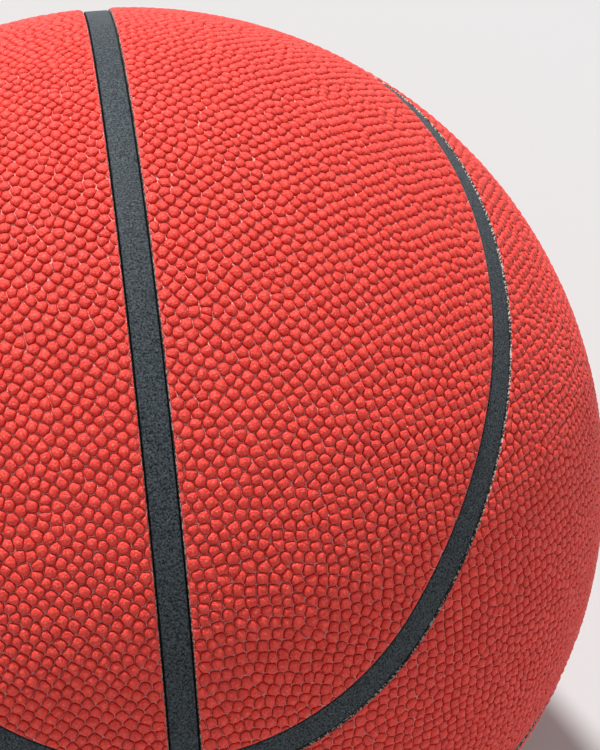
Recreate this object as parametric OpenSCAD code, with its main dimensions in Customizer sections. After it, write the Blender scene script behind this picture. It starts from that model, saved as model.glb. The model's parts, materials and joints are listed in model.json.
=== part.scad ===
// Basketball: eight cover panels set between rubber channel strips on a moulded carcass,
// over a thread winding and a bladder with its valve.
// The origin is the ball's centre. Two oval seams are centred on the Z axis and run long
// towards -Y and +Y. The long seam through their centres lies in the plane X = 0, and the
// equator seam between them lies in the plane Z = 0. The front of the ball faces -Y.

/* [Layers] */
// Diameter of the ball over its cover
ball_d = 240; // [180:1:250]
// Thickness of a cover panel, pebbles included
cover_t = 1.6; // [1.2:0.1:2.4]
// Thickness of the sponge backing under a cover panel
backing_t = 1.4; // [0.8:0.1:2.4]
// Wall of the moulded rubber carcass
carcass_t = 1.2; // [0.8:0.1:2.4]
// Thickness of the thread winding
winding_t = 0.7; // [0.4:0.1:1.5]
// Wall of the bladder
bladder_t = 0.9; // [0.6:0.1:1.8]
// Thickness of the glue between two layers
glue_line = 0.1; // [0.05:0.05:0.2]

/* [Channels] */
// Width of a channel strip
strip_w = 5.7; // [4:0.1:7]
// Depth of a strip's face below the cover
strip_depth = 0.7; // [0.3:0.1:1.2]
// Gap between a strip and the panels beside it
edge_gap = 0.25; // [0.1:0.05:0.5]
// Gap where the end of one strip meets another strip
butt_gap = 0.2; // [0.15:0.05:0.4]

/* [Oval seams] */
// Angle at the ball's centre from an oval's middle to its flank
oval_flank_angle = 43; // [40:1:46]
// Angle at the ball's centre from an oval's middle to its tip
oval_tip_angle = 61; // [58:1:63]
// Angular radius of the long arc along an oval's flank
flank_arc_angle = 73.7; // [72:0.1:77]

/* [Valve] */
// Turn of the valve from the front, towards +X
valve_turn = 22; // [18:1:35]
// Lift of the valve above the equator seam
valve_lift = 16; // [13:1:20]
// Depth of the valve's face below the cover
valve_depth = 0.8; // [0.4:0.1:1.2]
// Diameter of the valve housing's stem
stem_d = 11; // [10:0.5:14]
// Diameter of the valve core's shank
core_d = 6.4; // [5:0.1:7]
// Length of the valve core
core_len = 15; // [12:0.5:18]
// Diameter of the valve core's head
head_d = 8.4; // [7.6:0.1:9]
// Thickness of the valve core's head
head_t = 1.6; // [1:0.1:2.5]
// Radial clearance of the valve core in its housing
core_fit = 0.05; // [0.02:0.01:0.08]
// Diameter of the needle hole through the valve core
needle_d = 2; // [1.6:0.1:2.4]
// Thickness of the housing's floor below the valve core
housing_floor = 2; // [1:0.5:4]
// Diameter of the air hole in the housing's floor
air_hole_d = 3.2; // [2.6:0.1:4]
// Diameter of the housing's foot inside the bladder
foot_d = 24; // [18:1:30]
// Thickness of the housing's foot at its rim
foot_t = 1.6; // [1:0.1:3]
// Clearance of the cover and backing round the stem
stem_gap = 0.3; // [0.1:0.05:0.6]

/* [Patches] */
// Diameter of the reinforcing patch between the bladder and the housing's foot
valve_patch_d = 32; // [31:1:45]
// Thickness of the reinforcing patch
valve_patch_t = 0.8; // [0.5:0.1:1.5]
// Diameter of the balance patch opposite the valve
balance_patch_d = 40; // [30:1:50]
// Thickness of the balance patch
balance_patch_t = 1.6; // [1:0.1:2.5]

/* [Hidden] */
$fn = 144;

// Colours
cover_colour = "#e5453f";
backing_colour = "#c9c2b4";
strip_colour = "#2d3437";
carcass_colour = "#1f2224";
winding_colour = "#d8d3c4";
bladder_colour = "#17181a";
valve_colour = "#141516";
patch_colour = "#3a3d3f";

// Layer radii, from the outside in
cover_r = ball_d / 2;
cover_inner_r = cover_r - cover_t;
backing_r = cover_inner_r - glue_line;
backing_inner_r = backing_r - backing_t;
carcass_r = backing_inner_r - glue_line;
carcass_inner_r = carcass_r - carcass_t;
winding_r = carcass_inner_r - glue_line;
winding_inner_r = winding_r - winding_t;
bladder_r = winding_inner_r - glue_line;
bladder_inner_r = bladder_r - bladder_t;
patch_r = bladder_inner_r - glue_line;

// How far every cut runs past what it cuts
overrun = cover_t / 2;
// Size of a block that holds the whole ball
reach = cover_r + overrun;

// The strips run from the carcass up to their sunk face
strip_bottom_r = carcass_r + glue_line;
strip_face_r = cover_r - strip_depth;
// Half widths, from a seam's middle line to a strip's side, a panel's edge and a butting strip
strip_half_w = strip_w / 2;
panel_half_gap = strip_half_w + edge_gap;
butt_half_gap = strip_half_w + butt_gap;

// An oval seam is four arcs on the ball, each round an axis through the ball's centre.
// A flank arc's axis leans this far past the long seam, on the side away from the arc.
flank_lean = flank_arc_angle - oval_flank_angle;
// A tip arc's axis leans this far towards the tip, so that the arcs run into each other smoothly
arc_step = flank_arc_angle - oval_tip_angle;
tip_lean = atan((cos(arc_step) - cos(flank_lean)) / sin(arc_step));
tip_arc_angle = oval_tip_angle - tip_lean;
// Turn about each axis from the arc's middle to where the arcs meet
flank_half_turn = atan2(sin(tip_lean), cos(tip_lean) * sin(flank_lean));
tip_half_turn = atan2(sin(flank_lean), cos(flank_lean) * sin(tip_lean));
// Number of flat steps in each arc
arc_steps = 32;

// Angle at the ball's centre that spans a length on the cover
function span_angle(length) = length / cover_r * 180 / PI;

// Direction at an angle from an axis and at a turn about it. The axis leans from +Z
// away from the side that turn 0 points to.
function arc_direction(angle, turn, lean) = [
    cos(lean) * sin(angle) * cos(turn) - sin(lean) * cos(angle),
    sin(angle) * sin(turn),
    sin(lean) * sin(angle) * cos(turn) + cos(lean) * cos(angle)
];

// The flank on +X, from its -Y end to its +Y end, grown outwards by an angle
function flank_directions(grow) = [
    for (i = [0:arc_steps])
        arc_direction(flank_arc_angle + grow, flank_half_turn * (2 * i / arc_steps - 1), flank_lean)
];

// The tip on +Y, from +X to -X, without its two ends, which the flanks hold
function tip_directions(grow) = [
    for (i = [1:arc_steps - 1])
        let (d = arc_direction(tip_arc_angle + grow, tip_half_turn * (2 * i / arc_steps - 1), -tip_lean))
            [-d.y, d.x, d.z]
];

// Where a line from the ball's centre meets the plane on top of the ball
function on_top_plane(d) = d * reach / d.z;

// The whole outline, half of it turned round to make the other half
function oval_outline(grow) =
    let (half = concat(flank_directions(grow), tip_directions(grow)))
        [for (side = [1, -1]) for (d = half) on_top_plane([side * d.x, side * d.y, d.z])];

// Everything inside the top oval seam, from the ball's centre out, grown by a width on the cover
module inside_oval(width) {
    outline = oval_outline(span_angle(width));
    count = len(outline);
    sides = [for (i = [1:count]) [0, i, i % count + 1]];
    polyhedron(
        points = concat([[0, 0, 0]], outline),
        faces = concat(sides, [[for (i = [count:-1:1]) i]])
    );
}

// Hollow ball between two radii
module shell(outer, inner) {
    difference() {
        sphere(r = outer);
        sphere(r = inner);
    }
}

// The part of +X and +Z that is clear of the seams in the planes X = 0 and Z = 0 by two widths
module top_right(from_x, from_z) {
    translate([from_x, -reach, from_z])
        cube([reach, 2 * reach, reach]);
}

// Layer of the top right oval panel
module oval_layer(outer, inner) {
    intersection() {
        shell(outer, inner);
        inside_oval(-panel_half_gap);
        top_right(panel_half_gap, 0);
    }
}

// Layer of the top right band panel
module band_layer(outer, inner) {
    difference() {
        intersection() {
            shell(outer, inner);
            top_right(panel_half_gap, panel_half_gap);
        }
        inside_oval(panel_half_gap);
    }
}

// Mirror of the top right place: left is -X and bottom is -Z
module placed(left, bottom) {
    mirror([left, 0, 0])
        mirror([0, 0, bottom])
            children();
}

// Places children on the valve's axis, which becomes their Z axis
module at_valve() {
    rotate([90 - valve_lift, 0, valve_turn])
        children();
}

// Heights along the valve's axis from the ball's centre, and the radius of the foot's dome
valve_face_r = cover_r - valve_depth;
core_bottom_r = valve_face_r - core_len;
housing_bottom_r = core_bottom_r - housing_floor;
foot_r = patch_r - valve_patch_t - glue_line;
foot_rim_r = sqrt(pow(foot_r, 2) - pow(foot_d / 2, 2));

// Round bar along the valve's axis between two radii
module valve_bar(d, from, to) {
    translate([0, 0, from])
        cylinder(d = d, h = to - from);
}

// Hole for the stem through the layers, wider by a clearance
module stem_hole(gap) {
    at_valve()
        valve_bar(stem_d + 2 * gap, housing_bottom_r, reach);
}

module cover_panel(shape, left, bottom, holed) {
    color(cover_colour)
        difference() {
            placed(left, bottom) {
                if (shape == "oval") oval_layer(cover_r, cover_inner_r);
                if (shape == "band") band_layer(cover_r, cover_inner_r);
            }
            if (holed) stem_hole(stem_gap);
        }
}

module backing_pad(shape, left, bottom, holed) {
    color(backing_colour)
        difference() {
            placed(left, bottom) {
                if (shape == "oval") oval_layer(backing_r, backing_inner_r);
                if (shape == "band") band_layer(backing_r, backing_inner_r);
            }
            if (holed) stem_hole(stem_gap);
        }
}

module equator_strip() {
    color(strip_colour)
        intersection() {
            shell(strip_face_r, strip_bottom_r);
            translate([-reach, -reach, -strip_half_w])
                cube([2 * reach, 2 * reach, strip_w]);
        }
}

module oval_strip(bottom) {
    color(strip_colour)
        mirror([0, 0, bottom])
            difference() {
                intersection() {
                    shell(strip_face_r, strip_bottom_r);
                    inside_oval(strip_half_w);
                }
                inside_oval(-strip_half_w);
            }
}

// The long seam's strip over the top half of the ball
module long_seam_ring() {
    intersection() {
        shell(strip_face_r, strip_bottom_r);
        translate([-strip_half_w, -reach, 0])
            cube([strip_w, 2 * reach, reach]);
    }
}

// The stretch of the long seam inside an oval
module seam_strip_in_oval(bottom) {
    color(strip_colour)
        mirror([0, 0, bottom])
            intersection() {
                long_seam_ring();
                inside_oval(-butt_half_gap);
            }
}

// A stretch of the long seam between an oval's tip and the equator seam
module seam_strip_in_band(front, bottom) {
    color(strip_colour)
        mirror([0, front, 0])
            mirror([0, 0, bottom])
                difference() {
                    intersection() {
                        long_seam_ring();
                        translate([-reach, 0, butt_half_gap])
                            cube([2 * reach, reach, reach]);
                    }
                    inside_oval(butt_half_gap);
                }
}

module carcass() {
    color(carcass_colour)
        difference() {
            shell(carcass_r, carcass_inner_r);
            stem_hole(glue_line);
        }
}

module winding_layer() {
    color(winding_colour)
        difference() {
            shell(winding_r, winding_inner_r);
            stem_hole(glue_line);
        }
}

module bladder() {
    color(bladder_colour)
        difference() {
            shell(bladder_r, bladder_inner_r);
            stem_hole(glue_line);
        }
}

// The housing's stem holds the valve core, and its domed foot is bonded inside the bladder
module valve_housing() {
    color(valve_colour)
        at_valve()
            difference() {
                union() {
                    valve_bar(stem_d, housing_bottom_r, valve_face_r);
                    intersection() {
                        sphere(r = foot_r);
                        valve_bar(foot_d, foot_rim_r - foot_t, reach);
                    }
                }
                valve_bar(head_d + 2 * core_fit, valve_face_r - head_t, reach);
                valve_bar(core_d + 2 * core_fit, core_bottom_r, reach);
                valve_bar(air_hole_d, housing_bottom_r - overrun, reach);
            }
}

module valve_core() {
    color(valve_colour)
        at_valve()
            difference() {
                union() {
                    valve_bar(core_d, core_bottom_r, valve_face_r);
                    valve_bar(head_d, valve_face_r - head_t, valve_face_r);
                }
                valve_bar(needle_d, core_bottom_r - overrun, reach);
            }
}

// Round patch on the bladder's inside, curved with it
module patch(d, t) {
    intersection() {
        shell(patch_r, patch_r - t);
        cylinder(d = d, h = reach);
    }
}

module valve_patch() {
    color(patch_colour)
        difference() {
            at_valve() patch(valve_patch_d, valve_patch_t);
            stem_hole(glue_line);
        }
}

// The balance patch weighs as much as the valve, on the far side of the ball
module balance_patch() {
    color(patch_colour)
        at_valve()
            mirror([0, 0, 1])
                patch(balance_patch_d, balance_patch_t);
}

cover_panel("oval", 0, 0, false);  // oval_panel_top_right
cover_panel("oval", 1, 0, false);  // oval_panel_top_left
cover_panel("oval", 0, 1, false);  // oval_panel_bottom_right
cover_panel("oval", 1, 1, false);  // oval_panel_bottom_left
cover_panel("band", 0, 0, true);  // band_panel_top_right
cover_panel("band", 1, 0, false);  // band_panel_top_left
cover_panel("band", 0, 1, false);  // band_panel_bottom_right
cover_panel("band", 1, 1, false);  // band_panel_bottom_left
backing_pad("oval", 0, 0, false);  // oval_backing_top_right
backing_pad("oval", 1, 0, false);  // oval_backing_top_left
backing_pad("oval", 0, 1, false);  // oval_backing_bottom_right
backing_pad("oval", 1, 1, false);  // oval_backing_bottom_left
backing_pad("band", 0, 0, true);  // band_backing_top_right
backing_pad("band", 1, 0, false);  // band_backing_top_left
backing_pad("band", 0, 1, false);  // band_backing_bottom_right
backing_pad("band", 1, 1, false);  // band_backing_bottom_left
equator_strip();
oval_strip(0);  // oval_strip_top
oval_strip(1);  // oval_strip_bottom
seam_strip_in_oval(0);  // seam_strip_top
seam_strip_in_oval(1);  // seam_strip_bottom
seam_strip_in_band(1, 0);  // seam_strip_front_upper
seam_strip_in_band(1, 1);  // seam_strip_front_lower
seam_strip_in_band(0, 0);  // seam_strip_back_upper
seam_strip_in_band(0, 1);  // seam_strip_back_lower
carcass();
winding_layer();
bladder();
valve_housing();
valve_core();
valve_patch();
balance_patch();
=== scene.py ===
"""Basketball: pebbled cover panels, rubber channel strips and the valve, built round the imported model."""

import json
import math

import bpy
import numpy as np
from bpy.props import FloatProperty, IntProperty, PointerProperty, StringProperty
from mathutils import Matrix, Vector, geometry


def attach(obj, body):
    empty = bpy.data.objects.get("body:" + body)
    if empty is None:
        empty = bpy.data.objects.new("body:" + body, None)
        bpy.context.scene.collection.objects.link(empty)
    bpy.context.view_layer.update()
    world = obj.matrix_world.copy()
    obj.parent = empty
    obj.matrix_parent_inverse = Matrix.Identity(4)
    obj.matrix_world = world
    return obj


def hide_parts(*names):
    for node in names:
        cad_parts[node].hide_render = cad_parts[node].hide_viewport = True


bl_info = {
    "name": "Basketball",
    "version": (1, 0, 0),
    "blender": (4, 5, 0),
    "location": "3D View > Sidebar > Basketball",
    "description": "Builds a basketball's pebbled panels, channel strips and valve",
    "category": "Mesh",
}

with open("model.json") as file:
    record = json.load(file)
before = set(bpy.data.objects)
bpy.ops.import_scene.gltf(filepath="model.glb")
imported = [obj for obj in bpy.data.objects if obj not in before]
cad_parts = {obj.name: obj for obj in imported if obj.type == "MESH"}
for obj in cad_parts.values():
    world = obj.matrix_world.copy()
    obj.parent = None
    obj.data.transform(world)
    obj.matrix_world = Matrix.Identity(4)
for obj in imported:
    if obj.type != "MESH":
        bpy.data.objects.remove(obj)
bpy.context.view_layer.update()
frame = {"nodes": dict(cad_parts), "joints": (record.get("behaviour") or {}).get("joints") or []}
MM = 0.001
BALL_RADIUS = 120 * MM
VALVE_AXIS = Vector(frame["joints"][0]["axis"]).normalized()

# Points of a panel nearer than this to its cut line are moved onto it
SNAP_DISTANCE = 0.02 * MM
# Points of a panel nearer than this become one
WELD_DISTANCE = 0.5e-3 * MM
# Width of the band along a cut side where a panel is thinned
SKIVED_WIDTH = 1.1 * MM
# Margin round the valve hole inside which a rim's points belong to the hole
HOLE_MARGIN = 0.1 * MM
# Points of a flat net nearer than this count as one
NET_TOLERANCE = 1e-9
# What a flat net covers: all between its points, or what its edges enclose
WHOLE_HULL, INSIDE_EDGES = 0, 1
# Two faces that meet at less than this are shaded as one: on a pebble, and on a strip or the valve
PEBBLE_SMOOTHING = math.radians(62)
RUBBER_SMOOTHING = math.radians(35)
# Angle between two steps of a strip along its seam
STRIP_STEP = math.radians(1.2)

# The camera, fitted to the two seams that the photograph shows. Its place is in metres, and its lens
# and sensor are in millimetres
CAMERA_PLACE = (-0.01728, -0.23836, 0.40743)
CAMERA_AHEAD = (0.131, 0.5399, -0.831)
CAMERA_RIGHT = (0.987, -0.1538, 0.0555)
CAMERA_LENS = 86.4
CAMERA_SENSOR = 36

# Each lamp: its name, the direction it stands in, its strength, and its width in degrees
LAMPS = (
    ("key", (-0.20, 0.66, 0.72), 4.0, 5),
    ("side", (0.736, -0.260, 0.620), 0.15, 90),
)
EVEN_LIGHT = 0.36
FLOOR_SIZE = 40

# The coordinate that is 0 all along each flat seam
LONG_SEAM, EQUATOR = 0, 2

# Each cover panel is one of two patterns, turned half a turn about an axis or not at all
TURNS = {
    "top_right": (1, 1, 1),
    "top_left": (-1, -1, 1),
    "bottom_right": (1, -1, -1),
    "bottom_left": (-1, 1, -1),
}


def linear(hex_colour):
    """Turns an sRGB hex colour into the linear RGBA that shaders take."""
    channels = [int(hex_colour[i : i + 2], 16) / 255 for i in (1, 3, 5)]
    return [c / 12.92 if c <= 0.04045 else ((c + 0.055) / 1.055) ** 2.4 for c in channels] + [1.0]


class BallSizes(bpy.types.PropertyGroup):
    """Sizes of the ball, in metres and radians"""

    pebble_pitch: FloatProperty(
        name="Pebble pitch", description="Distance from one pebble to the next", default=2.57 * MM,
        unit="LENGTH",
    )
    valley_depth: FloatProperty(
        name="Valley depth", description="Depth of the valleys between pebbles", default=0.82 * MM,
        unit="LENGTH",
    )
    cover_thickness: FloatProperty(
        name="Cover thickness", description="From the pebbles' tops to the panel's inside", default=1.6 * MM,
        unit="LENGTH",
    )
    strip_width: FloatProperty(
        name="Strip width", description="Width of a channel strip", default=5.7 * MM, unit="LENGTH"
    )
    strip_depth: FloatProperty(
        name="Strip depth", description="Depth of a strip's face below the cover", default=0.7 * MM,
        unit="LENGTH",
    )
    strip_bottom: FloatProperty(
        name="Strip bottom", description="Depth of a strip's underside below the cover", default=3.1 * MM,
        unit="LENGTH",
    )
    strip_rounding: FloatProperty(
        name="Strip rounding", description="Radius of a strip's upper edges", default=0.3 * MM, unit="LENGTH"
    )
    edge_gap: FloatProperty(
        name="Edge gap", description="Gap between a strip and a panel's edge", default=0.25 * MM,
        unit="LENGTH",
    )
    butt_gap: FloatProperty(
        name="Butt gap", description="Gap where a strip's end meets another strip", default=0.2 * MM,
        unit="LENGTH",
    )
    flank_angle: FloatProperty(
        name="Oval flank angle", description="From an oval's middle to its flank, at the ball's centre",
        default=math.radians(43), unit="ROTATION",
    )
    tip_angle: FloatProperty(
        name="Oval tip angle", description="From an oval's middle to its tip, at the ball's centre",
        default=math.radians(61), unit="ROTATION",
    )
    flank_arc: FloatProperty(
        name="Flank arc", description="Angular radius of the long arc along a flank",
        default=math.radians(73.7), unit="ROTATION",
    )
    edge_lean: FloatProperty(
        name="Edge lean", description="How far a panel's cut side leans back", default=0.3 * MM, unit="LENGTH"
    )
    edge_drop: FloatProperty(
        name="Edge drop", description="Depth below the cover of a panel's cut rim", default=0.45 * MM,
        unit="LENGTH",
    )
    hole_radius: FloatProperty(
        name="Valve hole", description="Radius of the hole in the panel round the valve", default=5.8 * MM,
        unit="LENGTH",
    )
    seed: IntProperty(name="Pebble seed", description="Start of the random draws for the pebbles", default=7)


class BallColours(bpy.types.PropertyGroup):
    """Colours of the ball, as sRGB hex values"""

    cover: StringProperty(name="Cover", description="Tops of the pebbles", default="#ff4236")
    boss: StringProperty(name="Boss", description="Small raised middle of a pebble", default="#ff5e46")
    # The valleys' pale colour is a painted sheen, and the flanks' dark colour is painted shade
    painted_valley_sheen: StringProperty(name="Valleys", description="Between the pebbles", default="#fc8e84")
    flank: StringProperty(name="Flanks", description="Sides of the pebbles", default="#b80c05")
    cut_edge: StringProperty(name="Cut edge", description="Cut side of a panel", default="#241a19")
    fleck: StringProperty(name="Flecks", description="Pale backing fibres in the cut edge", default="#c8b8b0")
    channel: StringProperty(name="Channel", description="Rubber strips", default="#0f1315")
    channel_grain: StringProperty(
        name="Channel grain", description="Pale grain of the strips", default="#646e75"
    )
    valve: StringProperty(name="Valve", description="Valve rubber", default="#1b1d1e")
    floor: StringProperty(name="Floor", description="Painted floor", default="#d0d0d0")
    backdrop: StringProperty(name="Backdrop", description="Pale background", default="#eaeaea")


def sizes():
    """The ball's sizes, as the sidebar shows them."""
    return bpy.context.scene.ball_sizes


def colours():
    """The ball's colours, as the sidebar shows them."""
    return bpy.context.scene.ball_colours


def add_node(tree, kind, inputs=None, **settings):
    """Adds a node with its settings, and gives each input a value or a link from the socket named."""
    made = tree.nodes.new(kind)
    for name, value in settings.items():
        setattr(made, name, value)
    for name, value in (inputs or {}).items():
        if isinstance(value, bpy.types.NodeSocket):
            tree.links.new(value, made.inputs[name])
        else:
            made.inputs[name].default_value = value
    return made


def new_material(name):
    """An empty node tree with its output, and the object coordinates in metres."""
    material = bpy.data.materials.new(name)
    material.use_nodes = True
    tree = material.node_tree
    tree.nodes.clear()
    place = add_node(tree, "ShaderNodeTexCoord").outputs["Object"]
    return material, tree, place


def finish_material(tree, shader):
    """Leads the shader to the material's output."""
    add_node(tree, "ShaderNodeOutputMaterial", {"Surface": shader.outputs[0]})


def ramp(tree, factor, stops):
    """Colour ramp from (place, colour) stops."""
    made = add_node(tree, "ShaderNodeValToRGB", {"Fac": factor})
    band = made.color_ramp
    while len(band.elements) < len(stops):
        band.elements.new(0.5)
    for element, (place, colour) in zip(band.elements, stops):
        element.position = place
        element.color = colour
    return made.outputs["Color"]


def composite_leather():
    """Embossed polyurethane composite leather: saturated matt creased pebbles, painted sheen in the valleys,
    painted shade on flanks.
    """
    material, tree, place = new_material("embossed_composite_leather")
    lift = add_node(tree, "ShaderNodeAttribute", attribute_name="lift").outputs["Fac"]
    tone = add_node(tree, "ShaderNodeAttribute", attribute_name="tone").outputs["Fac"]
    # A pebble's lift is 0 in the valleys, 0.12 at its foot, 0.5 or 0.6 on its shoulder and 1 at its top
    # Painted light: the pale valley colour is a painted sheen, and the dark flank colour is painted shade on
    # the pebbles' sides
    depth = ramp(
        tree, lift,
        [(0.08, linear(colours().painted_valley_sheen)), (0.18, linear(colours().flank)), (0.46, linear(colours().cover))],
    )
    # Two pebbles in three show the small boss that the embossing roll leaves
    bossed = add_node(tree, "ShaderNodeMath", {0: tone, 1: 0.35}, operation="GREATER_THAN").outputs[0]
    boss = add_node(
        tree, "ShaderNodeMapRange", {"Value": lift, "From Min": 0.92, "From Max": 0.95, "To Max": bossed}
    ).outputs[0]
    topped = add_node(
        tree, "ShaderNodeMixRGB", {"Fac": boss, "Color1": depth, "Color2": linear(colours().boss)}
    ).outputs[0]
    # Creases 0.5 mm apart, and a grain of 0.2 mm on them
    crease = add_node(
        tree, "ShaderNodeTexNoise",
        {"Vector": place, "Scale": 1 / (0.5 * MM), "Detail": 1.0, "Distortion": 1.2},
    ).outputs[0]
    # Each pebble takes the dye a little differently; its creases carry painted shade, and the ridges between
    # them a slightly paler painted sheen
    own = add_node(tree, "ShaderNodeMapRange", {"Value": tone, "To Min": 0.93, "To Max": 1.07}).outputs[0]
    crease_painted_shade = add_node(
        tree, "ShaderNodeMapRange",
        {"Value": crease, "From Min": 0.35, "From Max": 0.62, "To Min": 0.82, "To Max": 1.1},
    ).outputs[0]
    value = add_node(tree, "ShaderNodeMath", {0: own, 1: crease_painted_shade}, operation="MULTIPLY").outputs[0]
    pale = add_node(
        tree, "ShaderNodeMapRange",
        {"Value": crease, "From Min": 0.45, "From Max": 0.65, "To Min": 1.0, "To Max": 0.96},
    ).outputs[0]
    dye_and_painted_light = add_node(tree, "ShaderNodeHueSaturation", {"Color": topped, "Value": value, "Saturation": pale})
    grain = add_node(
        tree, "ShaderNodeTexNoise",
        {"Vector": place, "Scale": 1 / (0.2 * MM), "Detail": 2.0, "Roughness": 0.6},
    ).outputs[0]
    normal = add_node(
        tree, "ShaderNodeBump", {"Height": grain, "Distance": 0.03 * MM, "Strength": 0.5}
    ).outputs[0]
    for height, distance in ((crease, 0.5 * MM), (boss, 0.12 * MM)):
        normal = add_node(
            tree, "ShaderNodeBump",
            {"Height": height, "Distance": distance, "Strength": 0.7, "Normal": normal},
        ).outputs[0]
    # The embossing roll leaves the valleys smoother than the tops
    rough = add_node(
        tree, "ShaderNodeMapRange", {"Value": lift, "From Max": 0.4, "To Min": 0.34, "To Max": 0.48}
    )
    # The valleys catch the light, and the flanks and tops are matt
    levels = ((0.08, 1), (0.18, 0), (0.5, 0.36))
    shine = ramp(tree, lift, [(at, (level, level, level, 1)) for at, level in levels])
    shader = add_node(
        tree, "ShaderNodeBsdfPrincipled",
        {
            "Base Color": dye_and_painted_light.outputs[0],
            "Roughness": rough.outputs[0],
            "IOR": 1.5,
            "Specular IOR Level": shine,
            "Normal": normal,
        },
    )
    finish_material(tree, shader)
    return material


def cut_leather():
    """Knife-cut edge of the composite leather: dark, with pale backing fibres standing out as flecks."""
    material, tree, place = new_material("cut_composite_leather_edge")
    fibres = add_node(
        tree, "ShaderNodeTexNoise", {"Vector": place, "Scale": 1 / (0.5 * MM), "Detail": 3.0}
    ).outputs[0]
    # Fibres show in the outer millimetre, and fade out just under it
    radius = add_node(tree, "ShaderNodeVectorMath", {0: place}, operation="LENGTH").outputs["Value"]
    near_top = add_node(
        tree, "ShaderNodeMapRange",
        {"Value": radius, "From Min": BALL_RADIUS - 1.3 * MM, "From Max": BALL_RADIUS - 1.0 * MM},
    ).outputs[0]
    bare = add_node(tree, "ShaderNodeMath", {0: fibres, 1: near_top}, operation="MULTIPLY").outputs[0]
    shade = ramp(tree, bare, [(0.5, linear(colours().cut_edge)), (0.58, linear(colours().fleck))])
    bump = add_node(tree, "ShaderNodeBump", {"Height": fibres, "Distance": 0.05 * MM, "Strength": 0.6})
    shader = add_node(
        tree, "ShaderNodeBsdfPrincipled",
        {"Base Color": shade, "Roughness": 0.85, "IOR": 1.5, "Normal": bump.outputs[0]},
    )
    finish_material(tree, shader)
    return material


def moulded_rubber(name, colour, pale, grain_mm, rough, relief_mm, specular=0.5):
    """Moulded rubber: matt, with the fine spark-eroded grain of its mould showing as pale specks."""
    material, tree, place = new_material(name)
    grain = add_node(
        tree, "ShaderNodeTexNoise",
        {"Vector": place, "Scale": 1 / (grain_mm * MM), "Detail": 3.0, "Roughness": 0.7},
    ).outputs[0]
    shade = ramp(tree, grain, [(0.38, linear(colour)), (0.72, linear(pale))])
    bump = add_node(tree, "ShaderNodeBump", {"Height": grain, "Distance": relief_mm * MM, "Strength": 0.7})
    spread = 0.06
    roughness = add_node(
        tree, "ShaderNodeMapRange", {"Value": grain, "To Min": rough - spread, "To Max": rough + spread}
    )
    shader = add_node(
        tree, "ShaderNodeBsdfPrincipled",
        {
            "Base Color": shade,
            "Roughness": roughness.outputs[0],
            "IOR": 1.5,
            "Specular IOR Level": specular,
            "Normal": bump.outputs[0],
        },
    )
    finish_material(tree, shader)
    return material


def sponge_foam():
    """Open-cell sponge rubber, cut from sheet: pale, dull, pitted with cells of half a millimetre, with
    painted shade in the pits.
    """
    material, tree, place = new_material("open_cell_sponge_rubber")
    # The pits' darker colour is painted shade in the cells' hollows
    pit_painted_shade, skin = "#8d8576", "#cbc3b3"
    cell = add_node(
        tree, "ShaderNodeTexVoronoi", {"Vector": place, "Scale": 1 / (0.5 * MM)}
    ).outputs["Distance"]
    shade = ramp(tree, cell, [(0.1, linear(pit_painted_shade)), (0.5, linear(skin))])
    bump = add_node(tree, "ShaderNodeBump", {"Height": cell, "Distance": 0.1 * MM, "Strength": 0.8})
    shader = add_node(
        tree, "ShaderNodeBsdfPrincipled", {"Base Color": shade, "Roughness": 0.95, "Normal": bump.outputs[0]}
    )
    finish_material(tree, shader)
    return material


def wound_thread():
    """Nylon thread, wound in every direction and set in glue: crossing ridges 0.8 mm apart."""
    material, tree, place = new_material("wound_nylon_thread")
    glue, thread = "#8f8872", "#d8d3c4"
    heights = []
    # A wave's ridges are pi / 10 times its scale's inverse apart
    for turn in ((0.3, 0.5, 0.1), (1.2, -0.4, 0.8), (-0.5, 0.9, 2.0)):
        laid = add_node(tree, "ShaderNodeMapping", {"Vector": place, "Rotation": turn})
        heights.append(
            add_node(
                tree, "ShaderNodeTexWave",
                {"Vector": laid.outputs[0], "Scale": 1 / (2.5 * MM), "Distortion": 1.5},
            ).outputs["Fac"]
        )
    lower = add_node(tree, "ShaderNodeMath", {0: heights[0], 1: heights[1]}, operation="MAXIMUM").outputs[0]
    height = add_node(tree, "ShaderNodeMath", {0: lower, 1: heights[2]}, operation="MAXIMUM").outputs[0]
    shade = ramp(tree, height, [(0.5, linear(glue)), (1.0, linear(thread))])
    bump = add_node(tree, "ShaderNodeBump", {"Height": height, "Distance": 0.15 * MM, "Strength": 0.8})
    shader = add_node(
        tree, "ShaderNodeBsdfPrincipled", {"Base Color": shade, "Roughness": 0.7, "Normal": bump.outputs[0]}
    )
    finish_material(tree, shader)
    return material


def unit(vectors):
    """The vectors at a length of 1."""
    return vectors / np.linalg.norm(vectors, axis=-1, keepdims=True)


def start_piece():
    """Leaves nothing selected, so that an operator acts on the new piece alone."""
    if bpy.context.object and bpy.context.object.mode != "OBJECT":
        bpy.ops.object.mode_set(mode="OBJECT")
    bpy.ops.object.select_all(action="DESELECT")


def seam_arcs():
    """The flank's and the tip's arc in the top oval seam's first quarter: axes, angular radii, half turns."""
    size = sizes()
    lean = size.flank_arc - size.flank_angle
    step = size.flank_arc - size.tip_angle
    tip_lean = math.atan((math.cos(step) - math.cos(lean)) / math.sin(step))
    return {
        "flank_axis": np.array([-math.sin(lean), 0.0, math.cos(lean)]),
        "tip_axis": np.array([0.0, math.sin(tip_lean), math.cos(tip_lean)]),
        "flank_arc": size.flank_arc,
        "tip_arc": size.tip_angle - tip_lean,
        "flank_half_turn": math.atan2(math.sin(tip_lean), math.cos(tip_lean) * math.sin(lean)),
        "tip_half_turn": math.atan2(math.sin(lean), math.cos(lean) * math.sin(tip_lean)),
    }


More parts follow.
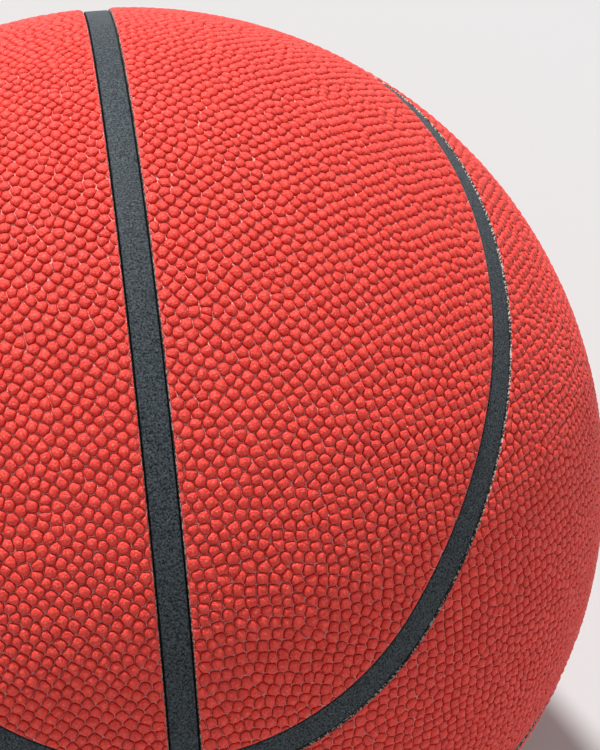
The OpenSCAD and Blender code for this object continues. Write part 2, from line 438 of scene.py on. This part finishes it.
def inside_oval(points):
    """Distance in metres, along the ball, from the top oval seam's middle line. Positive is inside."""
    arcs = seam_arcs()
    quarter = unit(points[:, :3])
    quarter[:, :2] = np.abs(quarter[:, :2])
    to_flank = arcs["flank_arc"] - np.arccos(np.clip(quarter @ arcs["flank_axis"], -1, 1))
    to_tip = arcs["tip_arc"] - np.arccos(np.clip(quarter @ arcs["tip_axis"], -1, 1))
    parting = np.cross(arcs["flank_axis"], arcs["tip_axis"])
    parting *= np.sign(parting[1])
    return BALL_RADIUS * np.where(quarter @ parting > 0, to_tip, to_flank)


def beside_seam(points, coordinate):
    """Distance in metres, along the ball, from the seam where a coordinate is 0."""
    return BALL_RADIUS * np.arcsin(unit(points[:, :3])[:, coordinate])


def beyond_valve(points):
    """Distance in metres outside the rim of the valve hole."""
    along = points[:, :3] @ np.array(VALVE_AXIS)
    return np.linalg.norm(points[:, :3] - along[:, None] * np.array(VALVE_AXIS), axis=1) - sizes().hole_radius


def panel_edges(shape, holed):
    """The distances that bound the top right panel of a shape. All are positive on the panel."""
    half_gap = sizes().strip_width / 2 + sizes().edge_gap
    edges = [lambda p: beside_seam(p, LONG_SEAM) - half_gap]
    if shape == "oval":
        edges.append(lambda p: inside_oval(p) - half_gap)
    else:
        edges.append(lambda p: beside_seam(p, EQUATOR) - half_gap)
        edges.append(lambda p: -inside_oval(p) - half_gap)
    if holed:
        edges.append(beyond_valve)
    return edges


def nearest_edge(points, edges):
    """Distance in metres from each point to the nearest of a panel's edges. Positive is on the panel."""
    return np.min([edge(points) for edge in edges], axis=0)


# Neither this direction nor its opposite is on a top right panel, so it gives each point there an east
EAST_GUIDE = np.array([-0.7, 0.0, 0.7])


def flat_map(points):
    """Directions laid flat, as seen from the ball's lowest point."""
    return points[:, :2] / (1 + points[:, 2:])


def net_of(flat, edges, covers):
    """Triangles between the points of a flat map, as the points' numbers."""
    net = geometry.delaunay_2d_cdt([Vector(p) for p in flat], edges, [], covers, NET_TOLERANCE)
    own = np.array([o[0] for o in net[3]])
    return own[np.array(net[2])]


def cells_of(points):
    """Cells round the points, as entries in order round each cell.

    Returns the entries' owners, their corners' numbers and the places of the next entries, and then the
    corners themselves.
    """
    triangles = net_of(flat_map(points), [], WHOLE_HULL)
    a, b, c = (points[triangles[:, k]] for k in range(3))
    corners = unit(np.cross(b - a, c - a))
    corners *= np.sign((corners * a).sum(1))[:, None]
    owner = triangles.ravel()
    corner = np.repeat(np.arange(len(triangles)), 3)
    centre = points[owner]
    east = unit(np.cross(EAST_GUIDE, centre))
    north = np.cross(centre, east)
    away = corners[corner] - centre
    order = np.lexsort((np.arctan2((away * north).sum(1), (away * east).sum(1)), owner))
    owner, corner = owner[order], corner[order]
    place = np.arange(len(owner))
    following = np.where(
        place + 1 < np.searchsorted(owner, owner, "right"), place + 1, np.searchsorted(owner, owner, "left")
    )
    return owner, corner, following, corners


def middles(points, owner, corner, following, corners):
    """The middle of each point's cell, by area."""
    a, b, p = corners[corner], corners[corner[following]], points[owner]
    area = np.linalg.norm(np.cross(a - p, b - p), axis=1)
    total = np.stack([np.bincount(owner, area * (a + b + p)[:, k], len(points)) for k in range(3)], 1)
    return unit(total)


def pebble_centres(edges, pole, pitch, random):
    """Directions of evenly spread pebbles: spiral rows about a pole, shaken and then evened out."""
    shake = 0.19 * pitch / BALL_RADIUS
    # Pebbles beyond the edge keep those on the panel evenly spread, and the outermost of them aren't moved
    made_beyond, moved_beyond = 5 * pitch, 3.5 * pitch
    evening_rounds = 2
    cell_area = pitch**2 * math.sqrt(3) / 2
    count = round(4 * math.pi * BALL_RADIUS**2 / cell_area)
    place = np.arange(count)
    height = 1 - (2 * place + 1) / count
    # Each stands the golden angle on from the last
    turn = place * math.pi * (3 - math.sqrt(5))
    ring = np.sqrt(1 - height**2)
    spiral = np.stack([ring * np.cos(turn), ring * np.sin(turn), height], 1)
    upright = np.array(Vector((0, 0, 1)).rotation_difference(Vector(pole)).to_matrix())
    spiral = spiral @ upright.T
    points = spiral[nearest_edge(spiral, edges) > -made_beyond]
    points = unit(points + random.normal(0, shake, points.shape))
    moving = nearest_edge(points, edges) > -moved_beyond
    for _ in range(evening_rounds):
        evened = middles(points, *cells_of(points))
        points = np.where(moving[:, None], evened, points)
    return points


def pebbled_sheet(edges, pole, pitch, rings, random):
    """Triangles of a pebbled sheet that reaches past the panel. Each row is x, y, z, lift and tone."""
    overhang = 1.3 * pitch
    # A ring stays at least this far from the pebble's middle, and this far inside its cell
    least_reach, least_inset = 0.25 * MM, 0.06 * MM
    # A ring's corners are drawn in a little further than its sides
    corner_draw, side_draw = 1.15, 1.0
    points = pebble_centres(edges, pole, pitch, random)
    owner, corner, following, corners = cells_of(points)
    centres = middles(points, owner, corner, following, corners)
    wanted = nearest_edge(points, edges) > -overhang
    used = wanted[owner]
    renumber = np.cumsum(used) - 1
    owner, corner, following = owner[used], corner[used], renumber[following[used]]
    pebbles, owner = np.unique(owner, return_inverse=True)
    junctions, corner = np.unique(corner, return_inverse=True)
    centres, corners = centres[pebbles], corners[junctions]
    mids = unit(corners[corner] + corners[corner[following]])

    # Each pebble has a tone, a height in millimetres and a slant of its own, and each junction a depth
    tone = random.random(len(pebbles))
    rise = random.normal(-0.03, 0.02, len(pebbles)) * MM
    slant = random.normal(0, 0.045, (len(pebbles), 3))
    blocks = []
    faces = []

    def put(directions, drop, lift, tones):
        """Adds a row of points, and returns the number of its first one."""
        radius = BALL_RADIUS - np.maximum(drop, 0)
        radius, lift, tones = (np.broadcast_to(v, len(directions))[:, None] for v in (radius, lift, tones))
        start = sum(len(b) for b in blocks)
        blocks.append(np.hstack([directions * radius, lift, tones]))
        return start

    junction_drop = sizes().valley_depth * random.uniform(0.95, 1.2, len(corners))
    junction_at = put(corners, junction_drop, lift=0.0, tones=0.5) + corner
    to_corner, to_mid = corners[corner] - centres[owner], mids - centres[owner]
    corner_reach = np.linalg.norm(to_corner, axis=1) * BALL_RADIUS
    mid_reach = np.linalg.norm(to_mid, axis=1) * BALL_RADIUS
    # A round ring has the mean of its cell's reaches all round
    mean = np.bincount(owner, corner_reach + mid_reach) / np.bincount(owner) / 2

    def join(outer, inner):
        """Triangles between two rings, or from a ring of corners alone to the point inside it."""
        a, b = outer[0], outer[1]
        a_next = a[following]
        if inner[0] is None:
            faces.append((a, a_next, inner[1]))
            return
        c, d = inner
        c_next = c[following]
        if b is None:
            faces.extend([(a, a_next, d), (a, d, c), (a_next, c_next, d)])
        elif d is None:
            faces.extend([(a, b, c), (b, c_next, c), (b, a_next, c_next)])
        else:
            faces.extend([(a, b, d), (a, d, c), (b, a_next, c_next), (b, c_next, d)])

    outer = (junction_at, None)
    for inset, drop, lift, roundness, doubled in rings:
        inner = []
        spokes = ((to_corner, corner_reach, corner_draw), (to_mid, mid_reach, side_draw))
        for away, reach, draw in spokes[: 1 + doubled]:
            short = (reach - draw * inset) * (1 - roundness) + (mean[owner] - inset) * roundness
            short = np.clip(short, least_reach, reach - least_inset)
            place = unit(centres[owner] + away * (short / reach)[:, None])
            lean = (slant[owner] * (place - centres[owner])).sum(1) * BALL_RADIUS
            inner.append(put(place, drop - rise[owner] - lean, lift, tone[owner]) + np.arange(len(owner)))
        if not doubled:
            inner.append(None)
        join(outer, inner)
        outer = inner
    join(outer, (None, put(centres, -rise, lift=1.0, tones=tone) + owner))
    return np.vstack(blocks), np.vstack([np.stack(f, 1) for f in faces])


def welded(points, faces):
    """Joins points that fall together, and drops faces that close up and points that nothing uses."""
    places = np.round(points[:, :3] / WELD_DISTANCE).astype(np.int64)
    _, first, same = np.unique(places, axis=0, return_index=True, return_inverse=True)
    points, faces = points[first], same.ravel()[faces]
    a, b, c = faces.T
    faces = faces[(a != b) & (b != c) & (c != a)]
    kept, faces = np.unique(faces, return_inverse=True)
    return points[kept], faces.reshape(-1, 3)


def trimmed(points, faces, edge):
    """Cuts the triangles where a panel's leaning side comes up, and keeps what lies inside it."""
    reach = edge(points) - sizes().edge_lean
    reach[np.abs(reach) < SNAP_DISTANCE] = 0
    inside = reach >= 0
    count = inside[faces].sum(1)
    kept = [faces[count == 3]]
    rows, cuts = [], []
    for wanted, odd_is_inside in ((1, True), (2, False)):
        crossing = faces[count == wanted]
        first = (inside[crossing] == odd_is_inside).argmax(1)
        line = np.arange(len(crossing))
        a, b, c = (crossing[line, (first + k) % 3] for k in range(3))
        rows.append((odd_is_inside, a, b, c))
        cuts.extend([np.stack([a, b], 1), np.stack([a, c], 1)])
    # Each cut side of a triangle gets one new point, where the line crosses it
    pairs, back = np.unique(np.sort(np.vstack(cuts), 1), axis=0, return_inverse=True)
    back = back.ravel() + len(points)
    share = (reach[pairs[:, 0]] / (reach[pairs[:, 0]] - reach[pairs[:, 1]]))[:, None]
    made = points[pairs[:, 0]] * (1 - share) + points[pairs[:, 1]] * share
    # A triangle with one corner inside keeps that corner, and one with two inside loses the third
    at = 0
    for odd_is_inside, a, b, c in rows:
        ab, ac = back[at : at + len(a)], back[at + len(a) : at + 2 * len(a)]
        at += 2 * len(a)
        if odd_is_inside:
            kept.append(np.stack([a, ab, ac], 1))
        else:
            kept.extend([np.stack([ab, b, c], 1), np.stack([ab, c, ac], 1)])
    return welded(np.vstack([points, made]), np.vstack(kept))


def skived(points, edges):
    """Presses the sheet down along its cut sides, where the panel is thinned."""
    inward = nearest_edge(points, edges) - sizes().edge_lean
    share = np.clip(1 - inward / SKIVED_WIDTH, 0, 1) ** 2
    radius = np.linalg.norm(points[:, :3], axis=1)
    lowered = radius * (1 - share) + (BALL_RADIUS - sizes().edge_drop) * share
    pressed = points.copy()
    pressed[:, :3] *= (lowered / radius)[:, None]
    return pressed


def closed_panel(points, faces, edges):
    """Gives the sheet its cut sides and its inside face.

    Returns the points, the faces and how many of the faces are the top's.
    """
    sides = np.vstack([faces[:, [0, 1]], faces[:, [1, 2]], faces[:, [2, 0]]])
    _, first, times = np.unique(np.sort(sides, 1), axis=0, return_index=True, return_counts=True)
    rim = sides[first[times == 1]]
    rim_points = np.unique(rim)
    points = skived(points, edges)
    low = np.full(len(points), -1)
    low[rim_points] = len(points) + np.arange(len(rim_points))
    inner_radius = BALL_RADIUS - sizes().cover_thickness
    small_step, at_rim = 0.01 * MM, 0.03 * MM
    # A cut side's foot lies further out than its rim
    foot = points[rim_points, :3].copy()
    for edge in edges:
        # The slope of the edge's distance, from three small steps
        here = edge(foot)
        slope = np.stack([edge(foot + step) - here for step in np.eye(3) * small_step], 1) / small_step
        at_edge = np.abs(here - sizes().edge_lean) < at_rim
        foot[at_edge] -= (slope * sizes().edge_lean)[at_edge]
    foot = unit(foot)
    a, b = rim[:, 0], rim[:, 1]
    wall = np.vstack([np.stack([b, a, low[a]], 1), np.stack([b, low[a], low[b]], 1)])
    # Between its rims, the inside face has points 3.5 to 7 mm apart
    spacing, margin = 0.03, 2.5 * MM
    steps = np.arange(-1, 1, spacing)
    grid = np.stack(np.meshgrid(steps, steps), -1).reshape(-1, 2)
    grid = grid[(grid**2).sum(1) < 1]
    square = (grid**2).sum(1, keepdims=True)
    field = np.hstack([2 * grid, 1 - square]) / (1 + square)
    field = field[nearest_edge(field * BALL_RADIUS, edges) > margin]
    spots = np.vstack([foot, field])
    flat = flat_map(spots)
    order = np.full(len(points), -1)
    order[rim_points] = np.arange(len(rim_points))
    inner = net_of(flat, order[rim].tolist(), INSIDE_EDGES)
    # Triangles whose corners all lie on the valve hole's rim would fill the hole
    on_hole = np.zeros(len(spots), bool)
    on_hole[: len(foot)] = beyond_valve(points[rim_points]) < sizes().edge_lean + HOLE_MARGIN
    inner = inner[~on_hole[inner].all(1)]
    # The inside face looks towards the ball's middle
    a, b, c = (flat[inner[:, k]] for k in range(3))
    turn = (b[:, 0] - a[:, 0]) * (c[:, 1] - a[:, 1]) - (b[:, 1] - a[:, 1]) * (c[:, 0] - a[:, 0])
    inner[turn > 0] = inner[turn > 0][:, ::-1]
    below = np.hstack([spots * inner_radius, np.zeros((len(spots), 1)), np.full((len(spots), 1), 0.5)])
    return np.vstack([points, below]), np.vstack([faces, wall, inner + len(points)]), len(faces)


def panel_object(name, points, faces, tops, turn, materials):
    """A panel's object from its rows, turned half a turn where it stands elsewhere."""
    mesh = bpy.data.meshes.new(name)
    mesh.vertices.add(len(points))
    mesh.vertices.foreach_set("co", (points[:, :3] * turn).astype(np.float32).ravel())
    mesh.loops.add(3 * len(faces))
    mesh.loops.foreach_set("vertex_index", faces.astype(np.int32).ravel())
    mesh.polygons.add(len(faces))
    mesh.polygons.foreach_set("loop_start", np.arange(0, 3 * len(faces), 3, dtype=np.int32))
    for attribute, column in (("lift", 3), ("tone", 4)):
        layer = mesh.attributes.new(attribute, "FLOAT", "POINT")
        layer.data.foreach_set("value", points[:, column].astype(np.float32))
    for material in materials:
        mesh.materials.append(material)
    mesh.polygons.foreach_set("material_index", (np.arange(len(faces)) >= tops).astype(np.int32))
    mesh.update(calc_edges=True)
    mesh.validate()
    piece = bpy.data.objects.new(name, mesh)
    bpy.context.scene.collection.objects.link(piece)
    start_piece()
    piece.select_set(True)
    bpy.context.view_layer.objects.active = piece
    bpy.ops.object.shade_smooth_by_angle(angle=PEBBLE_SMOOTHING)
    return piece


def sweep(name, outline, rounded, rounding, arcs, capped):
    """Spins a closed outline along one arc after another.

    The outline's points stand in a plane that holds the first arc's axis. Those numbered in rounded are
    bevelled. Each arc is its axis, its turn and its number of steps.
    """
    start_piece()
    bpy.ops.mesh.primitive_circle_add(vertices=len(outline), fill_type="NGON")
    piece = bpy.context.object
    piece.name = piece.data.name = name
    for vertex, point in zip(piece.data.vertices, outline):
        vertex.co = point
    bpy.ops.object.mode_set(mode="EDIT")
    bpy.ops.mesh.select_mode(type="VERT")
    bpy.ops.mesh.select_all(action="DESELECT")
    bpy.ops.object.mode_set(mode="OBJECT")
    for vertex in piece.data.vertices:
        vertex.select = vertex.index in rounded
    bpy.ops.object.mode_set(mode="EDIT")
    bpy.ops.mesh.bevel(offset=rounding, segments=4, affect="VERTICES")
    bpy.ops.mesh.select_all(action="SELECT")
    if not capped:
        bpy.ops.mesh.delete(type="ONLY_FACE")
        bpy.ops.mesh.select_all(action="SELECT")
    for axis, turn, steps in arcs:
        # With no window, a spin turns against the right-hand rule
        bpy.ops.mesh.spin(steps=steps, angle=-turn, center=(0, 0, 0), axis=axis)
    bpy.ops.mesh.select_all(action="SELECT")
    bpy.ops.mesh.remove_doubles(threshold=0.002 * MM)
    bpy.ops.mesh.normals_make_consistent(inside=False)
    bpy.ops.object.mode_set(mode="OBJECT")
    bpy.ops.object.shade_smooth_by_angle(angle=RUBBER_SMOOTHING)
    return piece


def strip_outline(start, axis):
    """Four corners of a strip's cross section at a start direction: two inner, then two outer."""
    start = np.array(start, float)
    side = np.array(axis, float)
    side = unit(side - (side @ start) * start)
    half = sizes().strip_width / 2
    low, high = BALL_RADIUS - sizes().strip_bottom, BALL_RADIUS - sizes().strip_depth
    corners = ((low, half), (low, -half), (high, -half), (high, half))
    return [start * along + side * across for along, across in corners]


def turned(axis, angle, point):
    """The point, turned about an axis through the ball's centre."""
    return np.array(Matrix.Rotation(angle, 3, Vector(axis)) @ Vector(point))


class BALL_OT_camera(bpy.types.Operator):
    """Stands the camera where the photograph was taken from"""

    bl_idname = "ball.camera"
    bl_label = "Camera"

    def execute(self, context):
        data = bpy.data.cameras.new("camera")
        data.lens = CAMERA_LENS
        data.sensor_width = CAMERA_SENSOR
        data.clip_start, data.clip_end = 0.01, 50
        camera = bpy.data.objects.new("camera", data)
        context.scene.collection.objects.link(camera)
        ahead = Vector(CAMERA_AHEAD).normalized()
        right = Vector(CAMERA_RIGHT)
        right = (right - right.dot(ahead) * ahead).normalized()
        up = right.cross(ahead)
        turn = Matrix((right, up, -ahead)).transposed()
        camera.matrix_world = Matrix.Translation(CAMERA_PLACE) @ turn.to_4x4()
        context.scene.camera = camera
        return {"FINISHED"}


class BALL_OT_stage(bpy.types.Operator):
    """Lays the pale floor, and sets the soft light from above and the even light all round"""

    bl_idname = "ball.stage"
    bl_label = "Floor and light"

    def execute(self, context):
        start_piece()
        bpy.ops.mesh.primitive_plane_add(size=FLOOR_SIZE, location=(0, 0, -BALL_RADIUS))
        floor = context.object
        floor.name = floor.data.name = "floor"
        bpy.ops.object.transform_apply(location=True)
        material, tree, _ = new_material("painted_floor")
        shader = add_node(
            tree, "ShaderNodeBsdfPrincipled",
            {"Base Color": linear(colours().floor), "Roughness": 1.0, "Specular IOR Level": 0.0},
        )
        finish_material(tree, shader)
        floor.data.materials.append(material)

        for name, direction, strength, width in LAMPS:
            data = bpy.data.lights.new(name, "SUN")
            data.energy = strength
            data.angle = math.radians(width)
            lamp = bpy.data.objects.new(name, data)
            lamp.rotation_euler = Vector(direction).to_track_quat("Z", "Y").to_euler()
            context.scene.collection.objects.link(lamp)

        # The camera and reflections see the backdrop, and the even light falls on the ball
        world = bpy.data.worlds.new("studio")
        world.use_nodes = True
        tree = world.node_tree
        tree.nodes.clear()
        rays = add_node(tree, "ShaderNodeLightPath")
        seen = add_node(
            tree, "ShaderNodeMath",
            {0: rays.outputs["Is Camera Ray"], 1: rays.outputs["Is Glossy Ray"]}, operation="MAXIMUM",
        ).outputs[0]
        seen = add_node(
            tree, "ShaderNodeMath", {0: seen, 1: rays.outputs["Is Transmission Ray"]}, operation="MAXIMUM"
        ).outputs[0]
        light = add_node(tree, "ShaderNodeBackground", {"Color": (1, 1, 1, 1), "Strength": EVEN_LIGHT})
        shown = add_node(tree, "ShaderNodeBackground", {"Color": linear(colours().backdrop), "Strength": 1.0})
        mixed = add_node(tree, "ShaderNodeMixShader", {0: seen, 1: light.outputs[0], 2: shown.outputs[0]})
        add_node(tree, "ShaderNodeOutputWorld", {"Surface": mixed.outputs[0]})
        context.scene.world = world
        context.scene.view_settings.view_transform = "Standard"
        return {"FINISHED"}


class BALL_OT_cover_panels(bpy.types.Operator):
    """Builds the eight pebbled cover panels: four half ovals and four bands"""

    bl_idname = "ball.cover_panels"
    bl_label = "Cover panels"

    def execute(self, context):
        random = np.random.default_rng(sizes().seed)
        materials = [composite_leather(), cut_leather()]
        # Each ring of a pebble: inset, drop, lift, how round it is, and whether it has a point per side
        foot = (0.08 * MM, sizes().valley_depth, 0.12, 0.5, True)
        pitch = sizes().pebble_pitch
        # The bands' pebbles are a hair larger than the ovals'
        band_pitch = 1.025 * pitch
        # Each pattern: the pole that its rows run about, off the panel, and its pitch and rings
        patterns = {
            "oval": (
                (0.2, 0.93, -0.3), pitch,
                [foot, (0.33 * MM, 0.28 * MM, 0.5, 0.6, True), (0.70 * MM, 0.075 * MM, 0.85, 0.8, False)],
            ),
            "band": ((-0.55, 0.3, 0.78), band_pitch, [foot, (0.42 * MM, 0.21 * MM, 0.6, 0.65, False)]),
        }
        for shape, (pole, pitch, rings) in patterns.items():
            edges = panel_edges(shape, False)
            sheet = pebbled_sheet(edges, pole, pitch, rings, random)
            for edge in edges:
                sheet = trimmed(*sheet, edge)
            plain = closed_panel(*sheet, edges)
            for place, turn in TURNS.items():
                name = f"{shape}_panel_{place}"
                built = plain
                if shape == "band" and place == "top_right":
                    edges = panel_edges(shape, True)
                    built = closed_panel(*trimmed(*sheet, edges[-1]), edges)
                piece = panel_object(f"{name}_pebbled", *built, turn, materials)
                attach(piece, "ball")
                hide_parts(name)
        return {"FINISHED"}


class BALL_OT_channel_strips(bpy.types.Operator):
    """Builds the rubber strips that lie in the channels between the panels"""

    bl_idname = "ball.channel_strips"
    bl_label = "Channel strips"

    def execute(self, context):
        rubber = moulded_rubber(
            "moulded_channel_rubber", colours().channel, colours().channel_grain,
            grain_mm=0.42, rough=0.5, relief_mm=0.2, specular=0.1,
        )
        size = sizes()
        arcs = seam_arcs()

        def lay(name, outline, paths, capped):
            """Sweeps a strip along its paths, each an axis and a turn, with its outer edges rounded."""
            outer_corners = (2, 3)
            swept = [(axis, turn, round(turn / STRIP_STEP)) for axis, turn in paths]
            piece = sweep(f"{name}_rounded", outline, outer_corners, size.strip_rounding, swept, capped)
            piece.data.materials.append(rubber)
            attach(piece, "ball")
            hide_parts(name)

        lay("equator_strip", strip_outline((1, 0, 0), (0, 0, 1)), [((0, 0, 1), 2 * math.pi)], False)

        # The oval strips follow four arcs, and the outline starts where the front tip meets the +X flank
        flank, tip = arcs["flank_axis"], arcs["tip_axis"]
        start = turned(flank, -arcs["flank_half_turn"], turned((0, 1, 0), arcs["flank_arc"], flank))
        for side, place in ((1, "top"), (-1, "bottom")):
            # The bottom strip is the top one turned over about the X axis
            over = np.array([1, side, side])
            axes = [flank, tip, flank * [-1, 1, 1], tip * [1, -1, 1]]
            turns = [2 * arcs["flank_half_turn"], 2 * arcs["tip_half_turn"]] * 2
            outline = [p * over for p in strip_outline(start, flank)]
            paths = [(tuple(axis * over), turn) for axis, turn in zip(axes, turns)]
            lay(f"oval_strip_{place}", outline, paths, False)

        # The long seam's strips lie in the plane X = 0, and each runs between two angles from +Z
        butt = (size.strip_width / 2 + size.butt_gap) / BALL_RADIUS
        tip_angle, quarter = size.tip_angle, math.pi / 2
        stretches = {
            "seam_strip_top": (-tip_angle + butt, tip_angle - butt),
            "seam_strip_bottom": (2 * quarter - tip_angle + butt, 2 * quarter + tip_angle - butt),
            "seam_strip_back_upper": (tip_angle + butt, quarter - butt),
            "seam_strip_back_lower": (quarter + butt, 2 * quarter - tip_angle - butt),
            "seam_strip_front_upper": (-quarter + butt, -tip_angle - butt),
            "seam_strip_front_lower": (-2 * quarter + tip_angle + butt, -quarter - butt),
        }
        for name, (first, last) in stretches.items():
            begin = (0, math.sin(first), math.cos(first))
            lay(name, strip_outline(begin, (1, 0, 0)), [((-1, 0, 0), last - first)], True)
        return {"FINISHED"}


class BALL_OT_valve(bpy.types.Operator):
    """Builds the valve's rubber housing and the core that is pushed into it"""

    bl_idname = "ball.valve"
    bl_label = "Valve"

    def execute(self, context):
        rubber = moulded_rubber(
            "moulded_butyl_valve_rubber", colours().valve, "#2c2f31", grain_mm=0.3, rough=0.45, relief_mm=0.02
        )
        axis = np.array(VALVE_AXIS)
        side = unit(np.cross(axis, (0, 0, 1)))
        rounding, steps_round = 0.3 * MM, 72

        foot_crown = 112.8 * MM

        def foot_top(radius_mm):
            """Height along the axis of the foot's top, which is round like the patch that it lies against."""
            return math.sqrt(foot_crown**2 - (radius_mm * MM) ** 2)

        # Radii in millimetres: the housing's outside and bores, then the core's outside and its hole
        stem, foot, foot_middle = 5.5, 12, 9
        head_bore, bore, passage = 4.25, 3.25, 1.6
        head, plug, needle_hole = 4.2, 3.2, 1.0
        # Heights along the axis in metres
        face, core_bottom, floor_bottom = (BALL_RADIUS - depth * MM for depth in (0.8, 15.8, 17.8))
        shoulder = face - 1.6 * MM
        foot_rim = foot_top(foot)
        foot_bottom = foot_rim - 1.6 * MM
        housing = [
            (stem, face), (head_bore, face), (head_bore, shoulder), (bore, shoulder),
            (bore, core_bottom), (passage, core_bottom), (passage, floor_bottom), (stem, floor_bottom),
            (stem, foot_bottom), (foot, foot_bottom), (foot, foot_rim),
            (foot_middle, foot_top(foot_middle)), (stem, foot_top(stem)),
        ]
        core = [
            (needle_hole, face), (head, face), (head, shoulder), (plug, shoulder),
            (plug, core_bottom), (needle_hole, core_bottom),
        ]
        # Each piece: its body, its corners, and which of them are rounded
        for name, body, corners, rounded in (
            ("valve_housing", "ball", housing, (0, 1)),
            ("valve_core", "valve_core", core, (0, 1, 4)),
        ):
            outline = [axis * height + side * radius * MM for radius, height in corners]
            arcs = [(tuple(axis), 2 * math.pi, steps_round)]
            piece = sweep(f"{name}_moulded", outline, rounded, rounding, arcs, False)
            piece.data.materials.append(rubber)
            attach(piece, body)
            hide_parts(name)
        return {"FINISHED"}


class BALL_OT_inner_layers(bpy.types.Operator):
    """Gives the layers under the cover their materials"""

    bl_idname = "ball.inner_layers"
    bl_label = "Inner layers"

    def execute(self, context):
        foam = sponge_foam()
        finishes = {
            "carcass": moulded_rubber(
                "moulded_carcass_rubber", "#1f2224", "#34383b", grain_mm=0.5, rough=0.6, relief_mm=0.05
            ),
            "winding_layer": wound_thread(),
            "bladder": moulded_rubber(
                "dipped_butyl_rubber", "#17181a", "#232527", grain_mm=1.5, rough=0.4, relief_mm=0.03
            ),
            "valve_patch": moulded_rubber(
                "calendered_patch_rubber", "#3a3d3f", "#4b4f52", grain_mm=0.6, rough=0.7, relief_mm=0.04
            ),
        }
        finishes["balance_patch"] = finishes["valve_patch"]
        for name, node in frame["nodes"].items():
            material = foam if "backing" in name else finishes.get(name)
            if material:
                node.data.materials.clear()
                node.data.materials.append(material)
        return {"FINISHED"}


class VIEW3D_PT_ball(bpy.types.Panel):
    """Lists the basketball's sizes, colours and building steps"""

    bl_label = "Basketball"
    bl_idname = "VIEW3D_PT_ball"
    bl_space_type = "VIEW_3D"
    bl_region_type = "UI"
    bl_category = "Basketball"

    def draw(self, context):
        for group in (context.scene.ball_sizes, context.scene.ball_colours):
            box = self.layout.box()
            for name in group.__annotations__:
                box.prop(group, name)
        for step in STEPS:
            self.layout.operator(step.bl_idname)


STEPS = (
    BALL_OT_camera,
    BALL_OT_stage,
    BALL_OT_cover_panels,
    BALL_OT_channel_strips,
    BALL_OT_valve,
    BALL_OT_inner_layers,
)
CLASSES = (BallSizes, BallColours, *STEPS, VIEW3D_PT_ball)


def register():
    """Registers the classes, and gives the scene its sizes and colours."""
    for cls in CLASSES:
        bpy.utils.register_class(cls)
    bpy.types.Scene.ball_sizes = PointerProperty(type=BallSizes)
    bpy.types.Scene.ball_colours = PointerProperty(type=BallColours)


def unregister():
    """Undoes what register did."""
    del bpy.types.Scene.ball_colours
    del bpy.types.Scene.ball_sizes
    for cls in reversed(CLASSES):
        bpy.utils.unregister_class(cls)


def main():
    """Builds the ball step by step."""
    register()
    for step in STEPS:
        area, name = step.bl_idname.split(".")
        getattr(getattr(bpy.ops, area), name)()


if __name__ == "__main__":
    main()
